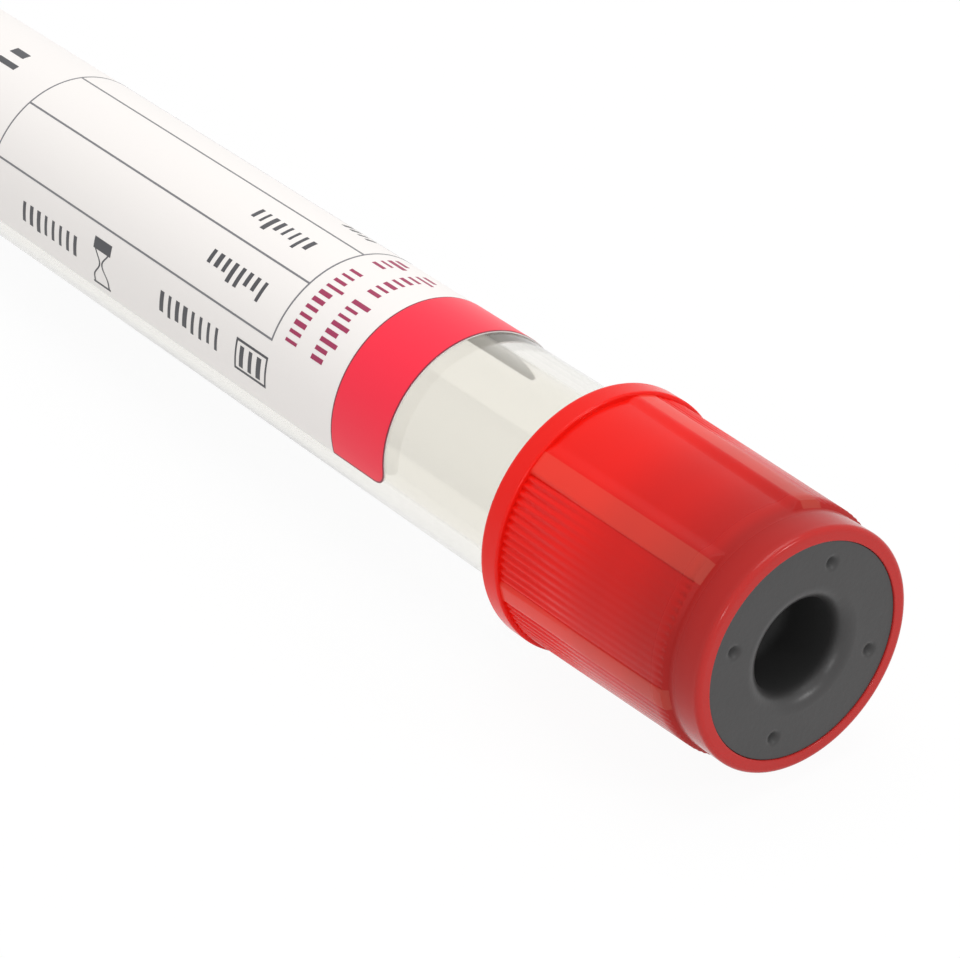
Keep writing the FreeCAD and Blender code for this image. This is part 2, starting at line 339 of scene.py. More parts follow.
# ---------------------------------------------------------------------------------------------------------
# Label: a white printed film glued part of the way round the tube. The film and each ink are drawn flat,
# in millimetres across (x) and along (y) from the corner nearest the cap, and one node tree wraps them
# round the tube. Where the real one has words it has rows of plain blocks, which say nothing.
# ---------------------------------------------------------------------------------------------------------
LABEL_WIDTH = 20.2
LABEL_LENGTH = 63.0
LABEL_FROM_MOUTH = 24.05
LABEL_MIDDLE_TURN = 105.3
LABEL_CORNER = 1.2
LABEL_GAP = 0.02
LABEL_THICKNESS = 0.08
INK_THICKNESS = 0.012
LABEL_STEP = 0.2
CORNER_STEP = 15
LABEL_RADIUS = TUBE_RADIUS + LABEL_GAP + LABEL_THICKNESS
BAND_LENGTH = 5.15
BAND_EDGE = 0.12


def slab(mesh, columns, bottom, top):
    """Adds a closed flat slab to a bmesh. Its columns are (x, lowest y, highest y)."""
    rows = [[mesh.verts.new((x, y, z)) for y, z in ((low, bottom), (high, bottom), (high, top), (low, top))]
            for x, low, high in columns]
    for row, following in zip(rows, rows[1:]):
        for k in range(4):
            mesh.faces.new((row[k], row[(k + 1) % 4], following[(k + 1) % 4], following[k]))
    mesh.faces.new(rows[0])
    mesh.faces.new(rows[-1][::-1])


def stops(low, high):
    """Places from low to high that are close enough for the wrap to stay round."""
    count = max(1, math.ceil((high - low) / LABEL_STEP))
    return [low + (high - low) * k / count for k in range(count + 1)]


def block(mesh, x0, y0, x1, y1, corners=(0, 0, 0, 0), bottom=0.0, top=INK_THICKNESS):
    """Adds a rectangle to a bmesh.

    The corners' roundings are given for low x and low y, low x and high y, high x and low y, and both high.
    """
    low_low, low_high, high_low, high_high = corners
    left, right = max(low_low, low_high), max(high_low, high_high)
    eased = [1 - math.cos(math.radians(angle)) for angle in range(0, 91, CORNER_STEP)]
    near, far = [x0 + left * way for way in eased], [x1 - right * way for way in eased]
    places = sorted(set(stops(x0, x1) + near + far))

    def inset(x, near_low, near_high):
        drop = 0.0
        for size, gone in ((near_low, x - x0), (near_high, x1 - x)):
            if gone < size:
                drop = max(drop, size - math.sqrt(max(0.0, size ** 2 - (size - gone) ** 2)))
        return drop

    slab(mesh, [(x, y0 + inset(x, low_low, high_low), y1 - inset(x, low_high, high_high)) for x in places],
         bottom, top)


def frame_of(mesh, x0, y0, x1, y1, line):
    """Four bars round a rectangle."""
    block(mesh, x0, y0, x1, y0 + line)
    block(mesh, x0, y1 - line, x1, y1)
    block(mesh, x0, y0 + line, x0 + line, y1 - line)
    block(mesh, x1 - line, y0 + line, x1, y1 - line)


def geometry_tree(name, inputs):
    """A Geometry Nodes tree with named inputs. Returns the tree and its inputs' sockets."""
    tree = bpy.data.node_groups.new(name, "GeometryNodeTree")
    tree.interface.new_socket("Geometry", in_out="INPUT", socket_type="NodeSocketGeometry")
    for label, kind in inputs:
        tree.interface.new_socket(label, in_out="INPUT", socket_type="NodeSocket" + kind)
    tree.interface.new_socket("Geometry", in_out="OUTPUT", socket_type="NodeSocketGeometry")
    return tree, add_node(tree, "NodeGroupInput").outputs


def end_tree(tree, geometry, material):
    """Ends a Geometry Nodes tree in real geometry with one material."""
    real = add_node(tree, "GeometryNodeRealizeInstances", {"Geometry": geometry})
    painted = add_node(tree, "GeometryNodeSetMaterial", {"Geometry": real, "Material": material})
    add_node(tree, "NodeGroupOutput", {"Geometry": painted})


def through(data, *steps):
    """The mesh that comes out of Geometry Nodes trees, each given with its inputs by name."""
    carrier = bpy.data.objects.new("carrier", data)
    scene.collection.objects.link(carrier)
    for tree, values in steps:
        modifier = carrier.modifiers.new("rule", "NODES")
        modifier.node_group = tree
        identifiers = {item.name: item.identifier for item in tree.interface.items_tree
                       if item.in_out == "INPUT"}
        for name, value in values.items():
            modifier[identifiers[name]] = value
    graph = bpy.context.evaluated_depsgraph_get()
    result = bpy.data.meshes.new_from_object(carrier.evaluated_get(graph), preserve_all_data_layers=True,
                                             depsgraph=graph)
    bpy.data.objects.remove(carrier)
    bpy.data.meshes.remove(data)
    return result


# The wrap: x goes round the tube from the first turn, y runs from the start depth, and z stands off it.
wrap, given = geometry_tree("wrap round the tube", [
    ("Radius", "Float"), ("First turn", "Float"), ("Start depth", "Float"), ("Material", "Material")])
place = add_node(wrap, "GeometryNodeInputPosition")
flat = add_node(wrap, "ShaderNodeSeparateXYZ", [place]).outputs
round_by = add_node(wrap, MATH, [flat["X"], given["Radius"]], operation="DIVIDE")
turn = add_node(wrap, MATH, [given["First turn"], round_by], operation="ADD")
cosine = add_node(wrap, MATH, [turn], operation="COSINE")
sine = add_node(wrap, MATH, [turn], operation="SINE")
radius = add_node(wrap, MATH, [given["Radius"], flat["Z"]], operation="ADD")
depth = add_node(wrap, MATH, [given["Start depth"], flat["Y"]], operation="ADD")
wrapped = add_node(wrap, "ShaderNodeCombineXYZ", [
    add_node(wrap, MATH, [depth, -1.0], operation="MULTIPLY"),
    add_node(wrap, MATH, [radius, cosine], operation="MULTIPLY"),
    add_node(wrap, MATH, [radius, sine], operation="MULTIPLY")])
moved = add_node(wrap, "GeometryNodeSetPosition", {"Geometry": given["Geometry"], "Position": wrapped})
end_tree(wrap, moved, given["Material"])

# A row of plain blocks in place of a word, some of them taller. Their widths are shares of the pitch, and
# each block is divided so that it bends with the wrap.
TALL_MARK_SHARE = 0.3
NARROWEST_MARK = 0.3
WIDEST_MARK = 0.55
marks, given = geometry_tree("row of marks", [
    ("Length", "Float"), ("Height", "Float"), ("Pitch", "Float"), ("Low share", "Float"), ("Seed", "Int"),
    ("Material", "Material")])
marks_long = add_node(marks, MATH, [given["Length"], given["Pitch"]], operation="DIVIDE")
half_pitch = add_node(marks, MATH, [given["Pitch"], 2.0], operation="DIVIDE")
line = add_node(marks, "GeometryNodeMeshLine", {
    "Count": add_node(marks, MATH, [marks_long], operation="FLOOR"),
    "Start Location": add_node(marks, "ShaderNodeCombineXYZ", [half_pitch]),
    "Offset": add_node(marks, "ShaderNodeCombineXYZ", [given["Pitch"]])})
tall = add_node(marks, "FunctionNodeRandomValue", {
    "Probability": TALL_MARK_SHARE, "Seed": given["Seed"]}, data_type="BOOLEAN").outputs[3]
wide = add_node(marks, "FunctionNodeRandomValue", {
    2: NARROWEST_MARK, 3: WIDEST_MARK, "Seed": given["Seed"]}, data_type="FLOAT").outputs[1]
share = add_node(marks, "GeometryNodeSwitch", {
    "Switch": tall, "False": given["Low share"], "True": 1.0}, input_type="FLOAT")
size = add_node(marks, "ShaderNodeCombineXYZ", [
    add_node(marks, MATH, [wide, given["Pitch"]], operation="MULTIPLY"),
    add_node(marks, MATH, [share, given["Height"]], operation="MULTIPLY"), INK_THICKNESS])
mark = add_node(marks, "GeometryNodeMeshCube", {"Size": (1.0, 1.0, 1.0), "Vertices X": 4, "Vertices Y": 9})
lifted = add_node(marks, "GeometryNodeTransform", {"Geometry": mark, "Translation": (0.0, 0.5, 0.5)})
placed = add_node(marks, "GeometryNodeInstanceOnPoints", {
    "Points": line, "Instance": lifted, "Scale": size})
end_tree(marks, placed, given["Material"])


def word(mesh, x, y, length, height, pitch, seed, heading, low_share=0.7):
    """Adds a row of marks to a bmesh. It starts at (x, y) and runs the way of the heading, in degrees."""
    data = through(bpy.data.meshes.new("row"), (marks, {"Length": length, "Height": height, "Pitch": pitch,
                                                       "Low share": low_share, "Seed": seed}))
    data.transform(Matrix.Translation((x, y, 0.0)) @ Matrix.Rotation(math.radians(heading), 4, "Z"))
    mesh.from_mesh(data)
    bpy.data.meshes.remove(data)


def print_layer(name, draw, material, replaces=None):
    """Draws one layer flat, wraps it round the tube and settles it."""
    mesh = bmesh.new()
    draw(mesh)
    bmesh.ops.recalc_face_normals(mesh, faces=mesh.faces)
    data = bpy.data.meshes.new(name)
    mesh.to_mesh(data)
    mesh.free()
    wrapped = through(data, (wrap, {
        "Radius": LABEL_RADIUS,
        "First turn": math.radians(LABEL_MIDDLE_TURN) + LABEL_WIDTH / 2 / LABEL_RADIUS,
        "Start depth": MOUTH_DEPTH + LABEL_FROM_MOUTH}))
    settle(name, wrapped, material, "tube", replaces)


# White polyester film, satin, with a fine grain that breaks up its sheen. The inks on it are one or two
# hundredths of a millimetre thick. The band's red is the glossiest, and the others are flat. The grain is
# drawn coarser than the real one, which is too fine to show.
FILM_GRAIN = 0.4


def printed(name, colour, grain_height, **constants):
    """A material of the label. The grain's height is in millimetres."""
    material, tree, shader = plastic(name, colour, **constants)
    add_relief(tree, shader, FILM_GRAIN, grain_height)
    return material


white_film = printed("white label film", "#ebe7e4", 0.004, Roughness=0.42, IOR=1.5, Specular_IOR_Level=0.3)
red_ink = printed("red ink", "#f02a42", 0.004, Roughness=0.36, Specular_IOR_Level=0.25)
maroon_ink = printed("maroon ink", "#7a1f33", 0.003, Roughness=0.45)
magenta_ink = printed("magenta ink", "#98224f", 0.003, Roughness=0.45)
grey_ink = printed("dark grey ink", "#444448", 0.003, Roughness=0.45)
pale_ink = printed("pale grey ink", "#727276", 0.003, Roughness=0.45)


def draw_film(mesh):
    """The film, whose printed face is at z = 0."""
    block(mesh, -LABEL_WIDTH, 0.0, 0.0, LABEL_LENGTH, (LABEL_CORNER,) * 4, -LABEL_THICKNESS, 0.0)


def draw_band_edge(mesh):
    """The dark edge that shows round the band."""
    block(mesh, -LABEL_WIDTH, 0.0, 0.0, BAND_LENGTH + 2 * BAND_EDGE, (LABEL_CORNER, 0, LABEL_CORNER, 0))


def draw_band(mesh):
    """The coloured band at the end nearest the cap."""
    corner = LABEL_CORNER - BAND_EDGE
    block(mesh, -LABEL_WIDTH + BAND_EDGE, BAND_EDGE, -BAND_EDGE, BAND_LENGTH + BAND_EDGE,
          (corner, 0, corner, 0), top=2 * INK_THICKNESS)


# The print: a title of four words, a table of three rows with a name in each, a boxed sign, two codes, a
# timer's sign and two large marks. Turns are degrees round from the label's lower edge, and places are
# millimetres along it. A row of marks runs across the label or along it towards the cap.
ACROSS, ALONG = 180.0, -90.0
TITLE_TURN = 42.0
TITLE_HEIGHT = 1.65
TITLE_PITCH = 0.6
TITLE_WORDS = (  # millimetres on from the title's turn, place, length, seed
    (0.0, 8.65, 4.9, 3), (5.4, 8.65, 5.0, 4), (0.0, 11.35, 7.1, 8), (7.7, 11.35, 2.6, 9))
TABLE_TURNS = (39.2, 148.7)
TABLE_PLACES = (12.4, 45.1)
DIVIDER_TURNS = (112.3, 76.0)
RULE_WIDTH = 0.13
NAME_PITCH = 0.8
NAMES = (  # turn, place, length, height, seed
    (63.7, 21.3, 6.5, 1.35, 5), (99.5, 21.5, 6.6, 1.35, 9), (138.4, 18.0, 3.5, 1.2, 21))
BOX_TURNS = (12.1, 30.0)
BOX_PLACES = (12.3, 15.7)
BOX_LINE = 0.16
CODES = (  # turn, place, length, height, pitch, seed, height share of the low marks
    (26.8, 15.45, 2.8, 1.4, 0.92, 11, 1.0), (27.4, 24.4, 7.2, 1.5, 0.88, 13, 0.92),
    (25.0, 41.0, 7.5, 1.5, 0.9, 17, 0.92))
TIMER_TURNS = (4.6, 32.6)
TIMER_PLACES = (30.2, 32.0)
TIMER_LINE = 0.15
TIMER_OVERHANG = 0.1
TIMER_FILLED_SHARE = 0.24
TIMER_NECK_SHARE = 0.22
TIMER_BULB_ROUND = 1.5
LARGE_MARKS = (84.0, 51.6, 2.8, 2.4, 1.3, 23)  # turn, place, length, height, pitch, seed


def place_x(turn):
    """A turn from the label's lower edge as a place in the flat drawing."""
    return -math.radians(turn) * LABEL_RADIUS


def smooth_step(share):
    """0 to 1 with level ends."""
    share = min(1.0, max(0.0, share))
    return share * share * (3 - 2 * share)


def hourglass(mesh, x0, x1, y0, y1):
    """A timer's sign: two bulbs in outline with a bar at one end and a filled end at the other."""
    middle_x, middle_y, half = (x0 + x1) / 2, (y0 + y1) / 2, (y1 - y0) / 2
    filled = (x1 - x0) * TIMER_FILLED_SHARE
    block(mesh, x0, y0 - TIMER_OVERHANG, x0 + filled, y1 + TIMER_OVERHANG)
    block(mesh, x1 - TIMER_LINE, y0 - TIMER_OVERHANG, x1, y1 + TIMER_OVERHANG)
    sides = []
    for x in stops(x0 + filled, x1 - TIMER_LINE):
        bulge = smooth_step(abs(x - middle_x) / (middle_x - x0) * TIMER_BULB_ROUND)
        sides.append((x, half * (TIMER_NECK_SHARE + (1 - TIMER_NECK_SHARE) * bulge)))
    slab(mesh, [(x, middle_y - r, middle_y - r + TIMER_LINE) for x, r in sides], 0.0, INK_THICKNESS)
    slab(mesh, [(x, middle_y + r - TIMER_LINE, middle_y + r) for x, r in sides], 0.0, INK_THICKNESS)


def draw_title(mesh):
    """The title's words, in two lines."""
    for onward, y, length, seed in TITLE_WORDS:
        word(mesh, place_x(TITLE_TURN) - onward, y, length, TITLE_HEIGHT, TITLE_PITCH, seed, ACROSS)


def draw_rules(mesh):
    """The table's outline and the rules between its rows."""
    high, low = (place_x(turn) for turn in TABLE_TURNS)
    near, far = TABLE_PLACES
    frame_of(mesh, low, near, high, far, RULE_WIDTH)
    for turn in DIVIDER_TURNS:
        middle = place_x(turn)
        block(mesh, middle - RULE_WIDTH / 2, near + RULE_WIDTH, middle + RULE_WIDTH / 2, far - RULE_WIDTH)


def draw_fields(mesh):
    """The names in the table and the signs and codes round it."""
    for turn, y, length, height, seed in NAMES:
        word(mesh, place_x(turn), y, length, height, NAME_PITCH, seed, ALONG)
    frame_of(mesh, place_x(BOX_TURNS[1]), BOX_PLACES[0], place_x(BOX_TURNS[0]), BOX_PLACES[1], BOX_LINE)
    for turn, y, length, height, pitch, seed, low_share in CODES:
        word(mesh, place_x(turn), y, length, height, pitch, seed, ALONG, low_share)
    hourglass(mesh, place_x(TIMER_TURNS[1]), place_x(TIMER_TURNS[0]), *TIMER_PLACES)
    turn, y, *sizes = LARGE_MARKS
    word(mesh, place_x(turn), y, *sizes, ACROSS)


print_layer("label_film", draw_film, white_film, replaces="label")
print_layer("label_band_edge", draw_band_edge, maroon_ink)
print_layer("label_band", draw_band, red_ink)
print_layer("label_title", draw_title, magenta_ink)
print_layer("label_rules", draw_rules, pale_ink)
print_layer("label_fields", draw_fields, grey_ink)


# ---------------------------------------------------------------------------------------------------------
# Stopper: one moulding of grey butyl rubber, held in the cap by its collar. Its face has the needle well
# and four small dimples, and its plug has two sealing rings and a hollow end.
# ---------------------------------------------------------------------------------------------------------
COLLAR_RADIUS = TUBE_RADIUS + 0.4
COLLAR_LENGTH = 3.3
COLLAR_FRONT_ROUND = 0.1
COLLAR_REAR_ROUND = 0.12
LIP_THICKNESS = 0.95
LIP_OVERLAP = 0.3
OPENING_RADIUS = COLLAR_RADIUS - LIP_OVERLAP
CONTACT_GAP = 0.02
FACE_EDGE_ROUND = 0.04
HEAD_RADIUS = TUBE_RADIUS - 0.05
HEAD_EDGE_ROUND = 0.12
WELL_RADIUS = 2.9
WELL_DEPTH = 5.0
WELL_MOUTH_ROUND = 1.0
WELL_END_ROUND = 0.9
PLUG_LENGTH = 7.0
PLUG_RADIUS = BORE_RADIUS - 0.05
PLUG_END_ROUND = 0.5
RELIEF_RADIUS = PLUG_RADIUS - 0.22
SEAL_RING_LENGTH = 1.3
SEAL_RING_ROUND = 0.15
SEAL_FOOT_ROUND = 0.1
HOLLOW_RADIUS = 3.2
HOLLOW_MOUTH_ROUND = 0.3
HOLLOW_END_RADIUS = 2.6
HOLLOW_END_ROUND = 0.8
HOLLOW_DEPTH = 3.2
DIMPLE_COUNT = 4
DIMPLE_RADIUS = 0.5
DIMPLE_DEPTH = 0.28
DIMPLE_CIRCLE = 5.25
DIMPLE_FADE = 1.1
FIRST_DIMPLE_TURN = 69.0
STOPPER_COLUMNS = 480
FACE_ROW_STEP = 0.085
FACE_ROW_MARGIN = 0.15
plug_end = MOUTH_DEPTH + PLUG_LENGTH
ring_gap = (PLUG_LENGTH - 2 * SEAL_RING_LENGTH) / 3
first_ring = MOUTH_DEPTH + ring_gap
second_ring = plug_end - ring_gap / 2 - SEAL_RING_LENGTH
collar_end = LIP_THICKNESS + COLLAR_LENGTH
face_reach = DIMPLE_RADIUS + FACE_ROW_MARGIN
face_rows = [(FACE_SETBACK, DIMPLE_CIRCLE - face_reach + FACE_ROW_STEP * k)
             for k in range(round(2 * face_reach / FACE_ROW_STEP) + 1)]
seal_rings = [corner for start in (first_ring, second_ring) for corner in (
    (start, RELIEF_RADIUS, SEAL_FOOT_ROUND),
    (start, PLUG_RADIUS, SEAL_RING_ROUND),
    (start + SEAL_RING_LENGTH, PLUG_RADIUS, SEAL_RING_ROUND),
    (start + SEAL_RING_LENGTH, RELIEF_RADIUS, SEAL_FOOT_ROUND))]

stopper_points = rounded([
    (FACE_SETBACK, WELL_RADIUS, WELL_MOUTH_ROUND),
    *face_rows,
    (FACE_SETBACK, OPENING_RADIUS - CONTACT_GAP, FACE_EDGE_ROUND),
    (LIP_THICKNESS + CONTACT_GAP, OPENING_RADIUS - CONTACT_GAP),
    (LIP_THICKNESS + CONTACT_GAP, COLLAR_RADIUS - CONTACT_GAP, COLLAR_FRONT_ROUND),
    (collar_end - CONTACT_GAP, COLLAR_RADIUS - CONTACT_GAP, COLLAR_REAR_ROUND),
    (collar_end - CONTACT_GAP, HEAD_RADIUS),
    (MOUTH_DEPTH - CONTACT_GAP, HEAD_RADIUS, HEAD_EDGE_ROUND),
    (MOUTH_DEPTH - CONTACT_GAP, RELIEF_RADIUS),
    *seal_rings,
    (plug_end, RELIEF_RADIUS, PLUG_END_ROUND),
    (plug_end, HOLLOW_RADIUS, HOLLOW_MOUTH_ROUND),
    (plug_end - HOLLOW_DEPTH, HOLLOW_END_RADIUS, HOLLOW_END_ROUND),
    (plug_end - HOLLOW_DEPTH, 0.0),
    (FACE_SETBACK + WELL_DEPTH, 0.0),
    (FACE_SETBACK + WELL_DEPTH, WELL_RADIUS, WELL_END_ROUND),
])

# The dimples: points of the face near one of the evenly spaced centres sink, most at the middle.
dimple, given = geometry_tree("dimples", [
    ("Count", "Float"), ("Circle", "Float"), ("Radius", "Float"), ("Depth", "Float"),
    ("First turn", "Float"), ("Face", "Float"), ("Material", "Material")])
place = add_node(dimple, "GeometryNodeInputPosition")
parts = add_node(dimple, "ShaderNodeSeparateXYZ", [place]).outputs
turn = add_node(dimple, MATH, [parts["Z"], parts["Y"]], operation="ARCTAN2")
pitch = add_node(dimple, MATH, [2 * math.pi, given["Count"]], operation="DIVIDE")
from_first = add_node(dimple, MATH, [turn, given["First turn"]], operation="SUBTRACT")
steps = add_node(dimple, MATH, [from_first, pitch], operation="DIVIDE")
number = add_node(dimple, MATH, [steps], operation="ROUND")
onward = add_node(dimple, MATH, [pitch, number], operation="MULTIPLY")
nearest = add_node(dimple, MATH, [given["First turn"], onward], operation="ADD")
cosine = add_node(dimple, MATH, [nearest], operation="COSINE")
sine = add_node(dimple, MATH, [nearest], operation="SINE")
centre = add_node(dimple, "ShaderNodeCombineXYZ", [
    given["Face"],
    add_node(dimple, MATH, [given["Circle"], cosine], operation="MULTIPLY"),
    add_node(dimple, MATH, [given["Circle"], sine], operation="MULTIPLY")])
gap = add_node(dimple, "ShaderNodeVectorMath", [place, centre], operation="DISTANCE").outputs[1]
gap_share = add_node(dimple, MATH, [gap, given["Radius"]], operation="DIVIDE")
fade = add_node(dimple, RANGE, [gap_share, 0.0, DIMPLE_FADE], interpolation_type="SMOOTHSTEP")
hollow = add_node(dimple, MATH, [1.0, fade], operation="SUBTRACT")
drop = add_node(dimple, MATH, [hollow, given["Depth"]], operation="MULTIPLY")
inward = add_node(dimple, MATH, [drop, -1.0], operation="MULTIPLY")
sink = add_node(dimple, "ShaderNodeCombineXYZ", [inward])
sunk = add_node(dimple, "GeometryNodeStoreNamedAttribute", {
    "Geometry": given["Geometry"], "Name": "sunk", "Value": hollow}, data_type="FLOAT", domain="POINT")
moved = add_node(dimple, "GeometryNodeSetPosition", {"Geometry": sunk, "Offset": sink})
end_tree(dimple, moved, given["Material"])

# Grey rubber: matt, finely pitted, with a trace of bloom in faint patches. The well is painted dark inside
# and the dimples darker, as painted shade in these hollows, and both are duller than the face, so that no
# lamp glints in them. The pits are drawn coarser than the real ones, which are too fine to show.
RUBBER_GRAIN = 0.3125
RUBBER_GRAIN_HEIGHT = 0.012
BLOOM_SPACING = 20 / 9
RUBBER_ROUGHNESS = 0.34
HOLLOW_ROUGHNESS = 0.7
WELL_SHADE_DEPTHS = (0.15, 1.6)
DIMPLE_PAINTED_SHADE_SHARE = 0.85
grey_rubber, tree, shader = plastic("grey butyl rubber", "#3a3939", Roughness=RUBBER_ROUGHNESS, IOR=1.5,
                                    Specular_IOR_Level=0.42)
add_relief(tree, shader, RUBBER_GRAIN, RUBBER_GRAIN_HEIGHT, detail=4.0)
place = axis_coordinates(tree)
parts = add_node(tree, "ShaderNodeSeparateXYZ", [place]).outputs
bloom = add_node(tree, "ShaderNodeTexNoise", {"Vector": place, "Scale": 1 / (BLOOM_SPACING * MM)})
shade = add_node(tree, MIX, {0: bloom, 6: linear("#353434"), 7: linear("#3a3939")}, data_type="RGBA")
deep = add_node(tree, MATH, [parts["X"], -1.0 / MM], operation="MULTIPLY")
past_mouth = add_node(tree, RANGE, [deep, *WELL_SHADE_DEPTHS], interpolation_type="SMOOTHSTEP")
well_reach = (WELL_RADIUS + WELL_MOUTH_ROUND) * MM
near_axis = add_node(tree, MATH, [from_axis(tree, parts), well_reach], operation="LESS_THAN")
in_well = add_node(tree, MATH, [past_mouth, near_axis], operation="MULTIPLY")
# Painted shade inside the well, darker with depth past its mouth.
shade = add_node(tree, MIX, {0: in_well, 6: shade.outputs[2], 7: linear("#262626")}, data_type="RGBA")
in_dimple = add_node(tree, "ShaderNodeAttribute", attribute_name="sunk").outputs["Fac"]
in_hollow = add_node(tree, MATH, [in_well, in_dimple], operation="MAXIMUM")
roughness = add_node(tree, MIX, {0: in_hollow, 2: RUBBER_ROUGHNESS, 3: HOLLOW_ROUGHNESS})
tree.links.new(roughness.outputs[0], shader.inputs["Roughness"])
# Painted shade in the dimples, darkest at their middles.
dark = add_node(tree, MATH, [in_dimple, DIMPLE_PAINTED_SHADE_SHARE], operation="MULTIPLY")
shade = add_node(tree, MIX, {0: dark, 6: shade.outputs[2], 7: linear("#1a1a1a")}, data_type="RGBA")
tree.links.new(shade.outputs[2], shader.inputs["Base Color"])

stopper_mesh = through(lathe("rubber_stopper", stopper_points, STOPPER_COLUMNS), (dimple, {
    "Count": float(DIMPLE_COUNT), "Circle": DIMPLE_CIRCLE, "Radius": DIMPLE_RADIUS, "Depth": DIMPLE_DEPTH,
    "First turn": math.radians(FIRST_DIMPLE_TURN), "Face": -FACE_SETBACK}))
settle("rubber_stopper", stopper_mesh, grey_rubber, "closure", "stopper")


# ---------------------------------------------------------------------------------------------------------
# Cap: one translucent red polypropylene moulding over the stopper and the tube's mouth. Behind the front
# ring its grip has six smooth strips, and between them fine ribs or, twice, a smooth panel with a ramp at
# each side. At the rear is a flange, and inside a lip and a bead that hold the stopper.
# ---------------------------------------------------------------------------------------------------------
NECK_RADIUS = COLLAR_RADIUS + 0.55
NECK_ROUND = 0.32
OPENING_ROUND = 0.07
SHOULDER_DEPTH = 2.45
SHOULDER_RUN = 0.35
SHOULDER_STEP = 0.07
SKIRT_RADIUS = TUBE_RADIUS + 0.3
SKIRT_MOUTH_ROUND = 0.2
GRIP_FRONT_RADIUS = SKIRT_RADIUS + 0.98
GRIP_REAR_RADIUS = SKIRT_RADIUS + 1.22
GRIP_START_RUN = 0.8
GRIP_START_RISE = 0.014
GRIP_START_STEP = 0.2
GRIP_STEP = 0.9
FLANGE_RADIUS = SKIRT_RADIUS + 1.4
FLANGE_THICKNESS = 1.55
FLANGE_FRONT_ROUND = 0.14
FLANGE_REAR_ROUND = 0.28
BEAD_HEIGHT = 0.2
BEAD_LENGTH = 0.7
BEAD_ROUND = 0.1
CAP_COLUMNS = 780
FLANGE_DEPTH = CAP_LENGTH - FLANGE_THICKNESS
GRIP_DEPTH = SHOULDER_DEPTH + SHOULDER_RUN
STRIP_COUNT = 6
STRIP_ANGLE = 10.7
FIRST_STRIP_TURN = 11.25
RIBS_BETWEEN_STRIPS = 14
RIB_FRONT_HEIGHT = 0.06
RIB_MIDDLE_HEIGHT = 0.012
RIB_REAR_HEIGHT = 0.13
RIB_FALL_SHARES = (0.0, 0.04)
RIB_RISE_SHARES = (0.45, 0.95)
RIB_CREST_SHARE = 0.1
RIB_CREST_DROP = 0.07
GAPS_PER_PANEL = 3.0
FIRST_PANEL_GAP = 1.0
PANEL_RAMP_ANGLE = 7.0
PANEL_FRONT_RADIUS = NECK_RADIUS
PANEL_REAR_RADIUS = PANEL_FRONT_RADIUS + 0.4


def divided(start, finish, longest):
    """Points on a straight run, its first end left out."""
    start, finish = Vector(start), Vector(finish)
    parts = math.ceil((finish - start).length / longest)
    return [tuple(start.lerp(finish, k / parts)) for k in range(1, parts + 1)]


grip_front = (GRIP_DEPTH, GRIP_FRONT_RADIUS)
grip_settled = (GRIP_DEPTH + GRIP_START_RUN, GRIP_FRONT_RADIUS + GRIP_START_RISE)
cap_points = rounded([
    (0.0, OPENING_RADIUS, OPENING_ROUND),
    (0.0, NECK_RADIUS, NECK_ROUND),
    (SHOULDER_DEPTH, NECK_RADIUS),
    *divided((SHOULDER_DEPTH, NECK_RADIUS), grip_front, SHOULDER_STEP),
    *divided(grip_front, grip_settled, GRIP_START_STEP),
    *divided(grip_settled, (FLANGE_DEPTH, GRIP_REAR_RADIUS), GRIP_STEP),
    (FLANGE_DEPTH, FLANGE_RADIUS, FLANGE_FRONT_ROUND),
    (CAP_LENGTH, FLANGE_RADIUS, FLANGE_REAR_ROUND),
    (CAP_LENGTH, SKIRT_RADIUS, SKIRT_MOUTH_ROUND),
    (collar_end + BEAD_LENGTH, SKIRT_RADIUS),
    (collar_end + BEAD_LENGTH / 2, SKIRT_RADIUS - BEAD_HEIGHT, BEAD_ROUND),
    (collar_end, SKIRT_RADIUS - BEAD_HEIGHT),
    (collar_end, COLLAR_RADIUS),
    (LIP_THICKNESS, COLLAR_RADIUS),
    (LIP_THICKNESS, OPENING_RADIUS),
])

# The grip's rule: no point of the grip stands further out than the pattern allows at its turn. Strips keep
# the whole radius, ribs lose a rounded valley between each two, deepest at both their ends, and every third
# gap is a panel, which starts at the neck's level and drafts outwards. Turns are in degrees.
grip, given = geometry_tree("grip pattern", [
    ("Strips", "Float"), ("First strip", "Float"), ("Strip angle", "Float"), ("Ribs", "Float"),
    ("Rib front height", "Float"), ("Rib middle height", "Float"), ("Rib rear height", "Float"),
    ("Crest share", "Float"), ("Crest drop", "Float"), ("Ramp angle", "Float"), ("Front depth", "Float"),
    ("Rear depth", "Float"), ("Grip front", "Float"), ("Grip rear", "Float"), ("Panel front", "Float"),
    ("Panel rear", "Float"), ("Material", "Material")])
place = add_node(grip, "GeometryNodeInputPosition")
parts = add_node(grip, "ShaderNodeSeparateXYZ", [place]).outputs
radius = from_axis(grip, parts)
angle = add_node(grip, MATH, [parts["Z"], parts["Y"]], operation="ARCTAN2")
turn = add_node(grip, MATH, [angle], operation="DEGREES")

# Round the cap: which gap between strips, and how far into it.
pitch = add_node(grip, MATH, [360.0, given["Strips"]], operation="DIVIDE")
positive = add_node(grip, MATH, [turn, 360.0], operation="ADD")
past_first = add_node(grip, MATH, [positive, given["First strip"]], operation="SUBTRACT")
steps_round = add_node(grip, MATH, [past_first, pitch], operation="DIVIDE")
gap_number = add_node(grip, MATH, [steps_round], operation="FLOOR")
step_share = add_node(grip, MATH, [steps_round], operation="FRACT")
from_strip = add_node(grip, MATH, [step_share, pitch], operation="MULTIPLY")
half_strip = add_node(grip, MATH, [given["Strip angle"], 2.0], operation="DIVIDE")
gap_angle = add_node(grip, MATH, [pitch, given["Strip angle"]], operation="SUBTRACT")
in_gap = add_node(grip, MATH, [from_strip, half_strip], operation="SUBTRACT")
gap_left = add_node(grip, MATH, [gap_angle, in_gap], operation="SUBTRACT")
